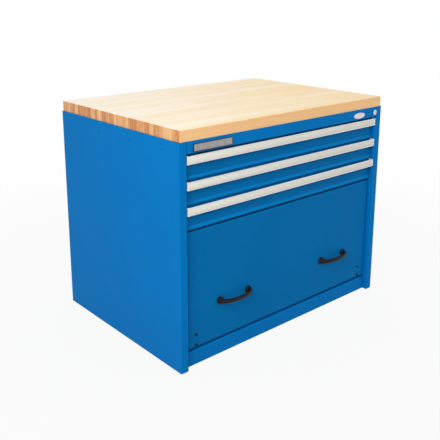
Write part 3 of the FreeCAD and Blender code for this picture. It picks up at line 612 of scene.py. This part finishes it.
# Handle: the channel's wall, with nose lips, a flange back to the front, and its riveted leg
wall_back = channel_floor + handle_wall
block(Vector((-handle_end, channel_floor, 0)), Vector((handle_end, wall_back, handle_top)))
for level in (lip_height, handle_top - lip_height, handle_flange - handle_wall, handle_flange):
    cut_across((0, 0, level), (0, 0, 1))
draw_out(lambda centre, normal: normal.y < -0.9 and not
         lip_height < centre.z < handle_top - lip_height, (0, handle_front - channel_floor, 0))
draw_out(lambda centre, normal: normal.y > 0.9 and
         handle_flange - handle_wall < centre.z < handle_flange, (0, handle_back - wall_back, 0))
cut_across((0, handle_back - handle_wall, 0), (0, 1, 0))
draw_out(lambda centre, normal: normal.z < -0.9 and centre.y > handle_back - handle_wall,
         (0, 0, handle_wall - handle_leg))
pick_edges(lambda a, b: max(a.y, b.y) < handle_front + 1e-5 and abs(a.z - b.z) < 1e-5
           and not 0.001 < a.z < handle_top - 0.001)
bpy.ops.mesh.bevel(offset=nose_round, segments=2, affect="EDGES")
handle_strip = settle("handle_strip", anodised_strip)

# End cap, modelled once at the right end of a handle whose bottom is at height 0
cap_end = 0.4769
cap_proud = 0.0002
cap_round = 0.0011
cap_sink = [(0.0015, 0.0), (0.0006, -0.0008)]
block(Vector((handle_end, handle_front - cap_proud, 0)),
      Vector((cap_end, handle_back, handle_top)))
pick_edges(lambda a, b: min(a.x, b.x) > cap_end - 1e-4)
bpy.ops.mesh.bevel(offset=cap_round, segments=3, affect="EDGES")
pick_faces(lambda centre, normal: normal.x > 0.99)
step_in(cap_sink)
end_cap = settle("end_cap", handle_end_cap)

# Label strip, with its front edges rolled
strip_end = handle_end - 0.0006
strip_gap = 0.0003
strip_thick = 0.0007
strip_sunk = 0.0001
strip_round = 0.0004
block(Vector((-strip_end, channel_floor - strip_thick, lip_height + strip_gap)),
      Vector((strip_end, channel_floor + strip_sunk, handle_top - lip_height - strip_gap)))
pick_edges(lambda a, b: max(a.y, b.y) < channel_floor - strip_thick / 2)
bpy.ops.mesh.bevel(offset=strip_round, segments=2, affect="EDGES")
label_strip = settle("label_strip", label_card)

for drawer, bottom in front_bottoms.items():
    base = bottom + handle_low
    handle = copy_to(handle_strip, f"{drawer}_handle_strip", (0, 0, base))
    fix(handle, drawer, "anodised_strip", f"{drawer}_handle")
    strip = copy_to(label_strip, f"{drawer}_label_strip", (0, 0, base))
    fix(strip, drawer, "anodised_strip")
    right_cap = copy_to(end_cap, f"{drawer}_cap", (0, 0, base))
    left_cap = copy_to(end_cap, "cap", (0, 0, base))
    left_cap.data.transform(Matrix.Scale(-1, 4, (1, 0, 0)))
    left_cap.data.flip_normals()
    fix(join_all([right_cap, left_cap], f"{drawer}_end_caps"), drawer, "anodised_strip")
for pattern in (handle_strip, end_cap, label_strip):
    bpy.data.objects.remove(pattern)


# ---------------------------------------------------------------------------------------------
# Bow pulls: two arched grips moulded in black glass-filled nylon on broad rounded feet, screwed
# from behind through the tall front.
# ---------------------------------------------------------------------------------------------

def black_nylon():
    """Moulded black nylon: a leathery fine grain, paler where hands polish it."""
    material, tree, shader, place = blank_finish("black_plastic", 0.42, specular=0.16)
    cloud = mottle(tree, place, 50.0, 3.0)
    tree.links.new(blended(tree, cloud, (0.007, 0.004, 0.004), (0.015, 0.010, 0.010)),
                   shader["Base Color"])
    tree.links.new(between(tree, cloud, 0.3, 0.46), shader["Roughness"])
    relief(tree, shader, mottle(tree, place, 1100.0, 2.0), 0.2, 0.0002)
    return material


black_plastic = black_nylon()
pull_place = 0.262
pull_height = 0.204
panel_face = -0.333
pull_smoothness = 3

# From the left foot to the middle: across, out from the panel, way it heads in degrees from
# straight out, thickness seen from above, height
pull_stations = [
    (-0.0660, 0.0000, 0, 0.0305, 0.0290), (-0.0660, 0.0014, 0, 0.0305, 0.0290),
    (-0.0660, 0.0050, 0, 0.0290, 0.0276), (-0.0655, 0.0096, 4, 0.0232, 0.0236),
    (-0.0640, 0.0150, 16, 0.0172, 0.0196), (-0.0592, 0.0210, 36, 0.0142, 0.0178),
    (-0.0500, 0.0267, 60, 0.0124, 0.0170), (-0.0360, 0.0309, 74, 0.0119, 0.0170),
    (-0.0190, 0.0332, 84, 0.0117, 0.0170), (0.0000, 0.0338, 90, 0.0117, 0.0170),
]
pull_stations += [(-x, out, 180 - way, thick, tall)
                  for x, out, way, thick, tall in reversed(pull_stations[:-1])]


def bow_pull():
    """Drawn out of its left foot, section by section, round to its right foot."""
    x, out, way, thick, tall = pull_stations[0]
    bpy.ops.mesh.primitive_plane_add(size=1, rotation=(math.pi / 2, 0, 0))
    bpy.ops.object.transform_apply(rotation=True)
    start_edit("SELECT")
    bpy.ops.transform.resize(value=(thick, 1, tall), center_override=(0, 0, 0))
    bpy.ops.transform.translate(value=(x, -out, 0))
    for station in pull_stations[1:]:
        last = Vector((x, -out, 0))
        step = Vector((station[0], -station[1], 0)) - last
        bpy.ops.mesh.extrude_region_move(TRANSFORM_OT_translate={"value": step})
        middle = last + step
        bpy.ops.transform.rotate(value=math.radians(way - station[2]), orient_axis="Z",
                                 center_override=middle)
        grow = station[3] / thick
        lift = station[4] / tall
        bpy.ops.transform.resize(value=(grow, grow, lift), center_override=middle)
        x, out, way, thick, tall = station
    bpy.ops.mesh.select_all(action="SELECT")
    bpy.ops.mesh.normals_make_consistent(inside=False)
    bpy.ops.object.mode_set(mode="OBJECT")
    smooth = bpy.context.object.modifiers.new("smooth", "SUBSURF")
    smooth.levels = smooth.render_levels = pull_smoothness
    bpy.ops.object.modifier_apply(modifier="smooth")
    return settle("pull", black_plastic, 60.0)


pull = bow_pull()
for side, sign in (("left", -1), ("right", 1)):
    twin = copy_to(pull, f"{side}_bow_pull", (sign * pull_place, panel_face, pull_height))
    fix(twin, "tool_drawer", "black_plastic", f"tool_drawer_{side}_pull")
bpy.data.objects.remove(pull)


# ---------------------------------------------------------------------------------------------
# Front screws: two button-headed socket screws near each lower corner of the tall front, which
# hold it to the tray. Steel, black-oxide finished.
# ---------------------------------------------------------------------------------------------

def black_oxide():
    """Black oxide on steel, with a dull oily cloud."""
    material, tree, shader, place = blank_finish("black_screws", 0.36, metallic=0.5)
    cloud = mottle(tree, place, 240.0, 2.0)
    tree.links.new(blended(tree, cloud, (0.012, 0.012, 0.014), (0.034, 0.034, 0.038)),
                   shader["Base Color"])
    tree.links.new(between(tree, cloud, 0.26, 0.46), shader["Roughness"])
    relief(tree, shader, cloud, 0.06, 0.0001)
    return material


black_screws = black_oxide()
screw_across = 0.434
screw_heights = (0.0745, 0.1115)
screw_head = 0.0046
screw_proud = 0.003
screw_round = 0.0015
screw_crown = [(0.0002, 0.0)]
screw_socket = [(0.0010, 0.0), (0.0001, -0.0016)]

bpy.ops.mesh.primitive_cylinder_add(vertices=24, radius=screw_head, depth=screw_proud,
                                    location=(0, -screw_proud / 2, 0),
                                    rotation=(math.pi / 2, 0, 0))
bpy.ops.object.transform_apply(location=True, rotation=True)
start_edit()
pick_faces(lambda centre, normal: normal.y < -0.9)
step_in(screw_crown)
pick_edges(lambda a, b: max(a.y, b.y) < -screw_proud + 1e-5
           and min(a.xz.length, b.xz.length) > screw_head - 1e-4)
bpy.ops.mesh.bevel(offset=screw_round, segments=4, affect="EDGES")
pick_faces(lambda centre, normal: normal.y < -0.99 and centre.xz.length < 1e-4)
step_in(screw_socket)
front_screw = settle("front_screw", black_screws)
screws = [copy_to(front_screw, "screw", (sign * screw_across, panel_face, height))
          for sign in (-1, 1) for height in screw_heights]
bpy.data.objects.remove(front_screw)
fix(join_all(screws, "tool_drawer_button_screws"), "tool_drawer", "black_screws",
    "tool_drawer_front_screws")


# ---------------------------------------------------------------------------------------------
# Lock: chromed die-cast cylinder at the right end of the header, with turned beads round its
# bezel and its key plug. Held by a nut behind the header.
# ---------------------------------------------------------------------------------------------

def chrome():
    """Bright chrome over a cast body, very slightly uneven."""
    material, tree, shader, place = blank_finish("lock_chrome", 0.18, metallic=1.0)
    cloud = mottle(tree, place, 160.0, 2.0)
    tree.links.new(blended(tree, cloud, (0.66, 0.66, 0.68), (0.80, 0.80, 0.82)),
                   shader["Base Color"])
    tree.links.new(between(tree, cloud, 0.12, 0.26), shader["Roughness"])
    relief(tree, shader, cloud, 0.04, 0.0001)
    return material


lock_chrome = chrome()
coat(lock_chrome, "lock_cylinder")
lock_centre = Vector((0.468, -0.354, 0.764))
bezel_bead = (0.0086, 0.0010)
plug_bead = (0.0056, 0.0006)
bead_flatness = 0.62

beads = []
for radius, thick in (bezel_bead, plug_bead):
    bpy.ops.mesh.primitive_torus_add(major_segments=40, minor_segments=10, major_radius=radius,
                                     minor_radius=thick, location=lock_centre,
                                     rotation=(math.pi / 2, 0, 0))
    bpy.ops.object.transform_apply(location=True, rotation=True)
    start_edit("SELECT")
    bpy.ops.transform.resize(value=(1, bead_flatness, 1), center_override=lock_centre)
    beads.append(settle("bead", lock_chrome, 60.0))
fix(join_all(beads, "lock_turned_beads"), "lock", "lock_chrome")


# ---------------------------------------------------------------------------------------------
# Studio: pale floor, white surroundings, soft boxes at the left, above, at the right front and
# behind, and the camera at the photograph's viewing angle.
# ---------------------------------------------------------------------------------------------

def seen_rays(tree):
    """1 for what the camera sees directly, in gloss or through glass."""
    rays = add_node(tree, "LightPath")
    seen = add_node(tree, "Math", {0: rays["Is Camera Ray"], 1: rays["Is Glossy Ray"]},
                    operation="MAXIMUM")[0]
    return add_node(tree, "Math", {0: seen, 1: rays["Is Transmission Ray"]},
                    operation="MAXIMUM")[0]


surround = 0.47
floor_radius = 14
lamps_aim = Vector((0, 0, 0.42))
world = bpy.data.worlds.new("studio")
bpy.context.scene.world = world
world.use_nodes = True
background = world.node_tree.nodes["Background"].inputs
background["Color"].default_value = (1, 1, 1, 1)
world.node_tree.links.new(between(world.node_tree, seen_rays(world.node_tree), surround, 1.0),
                          background["Strength"])

floor_finish, tree, shader, place = blank_finish("studio_floor", 0.9, specular=0.1)
tree.links.new(blended(tree, mottle(tree, place, 1.5), (0.43, 0.43, 0.43), (0.46, 0.46, 0.46)),
               shader["Base Color"])
white = add_node(tree, "Emission", {"Color": (1, 1, 1, 1), "Strength": 1.0})[0]
reach = add_node(tree, "VectorMath", {0: place}, operation="LENGTH")[1]
share = ramp(tree, reach, 0.7, 2.6, 0.92, 1.0)
share = add_node(tree, "Math", {0: share, 1: seen_rays(tree)}, operation="MULTIPLY")[0]
cover = add_node(tree, "MixShader", {0: share, 1: tree.nodes["Principled BSDF"].outputs[0],
                                     2: white})[0]
tree.links.new(cover, tree.nodes["Material Output"].inputs["Surface"])
bpy.ops.mesh.primitive_circle_add(vertices=64, radius=floor_radius, fill_type="NGON")
floor = settle("studio_floor", floor_finish)


def soft_box(name, place, size, power):
    """A square lamp of so many metres and watts, turned to the cabinet's middle and unseen."""
    lamp = bpy.data.lights.new(name, "AREA")
    lamp.shape, lamp.size, lamp.energy = "SQUARE", size, power
    box = bpy.data.objects.new(name, lamp)
    bpy.context.collection.objects.link(box)
    box.location = place
    box.rotation_euler = (lamps_aim - Vector(place)).to_track_quat("-Z", "Y").to_euler()
    box.visible_camera = box.visible_glossy = False


soft_box("key", (-2.85, -1.75, 2.3), 2.0, 104)
soft_box("top", (0.35, 0.3, 3.3), 2.6, 15)
soft_box("front", (2.2, -2.45, 0.5), 2.0, 23)
soft_box("back", (2.4, 2.4, 2.2), 2.4, 34)

# Camera: yaw, pitch and roll in degrees, from a view straight at the front
camera_place = (-1.7255, -1.93014, 1.24837)
camera_angles = (-41.1725, 14.0778, 0.1098)
camera_data = bpy.data.cameras.new("camera")
camera_data.lens = 55.1747
camera_data.shift_y = -0.14773
camera = bpy.data.objects.new("camera", camera_data)
bpy.context.collection.objects.link(camera)
yaw, pitch, roll = (math.radians(angle) for angle in camera_angles)
back = Vector((math.sin(yaw) * math.cos(pitch), -math.cos(yaw) * math.cos(pitch),
               math.sin(pitch)))
level = Vector((0, 0, 1)).cross(back).normalized()
upright = back.cross(level)
right = math.cos(roll) * level + math.sin(roll) * upright
up = math.cos(roll) * upright - math.sin(roll) * level
camera.matrix_world = (Matrix.Translation(camera_place)
                       @ Matrix((right, up, back)).transposed().to_4x4())
bpy.context.scene.camera = camera
bpy.context.scene.view_settings.view_transform = "Standard"
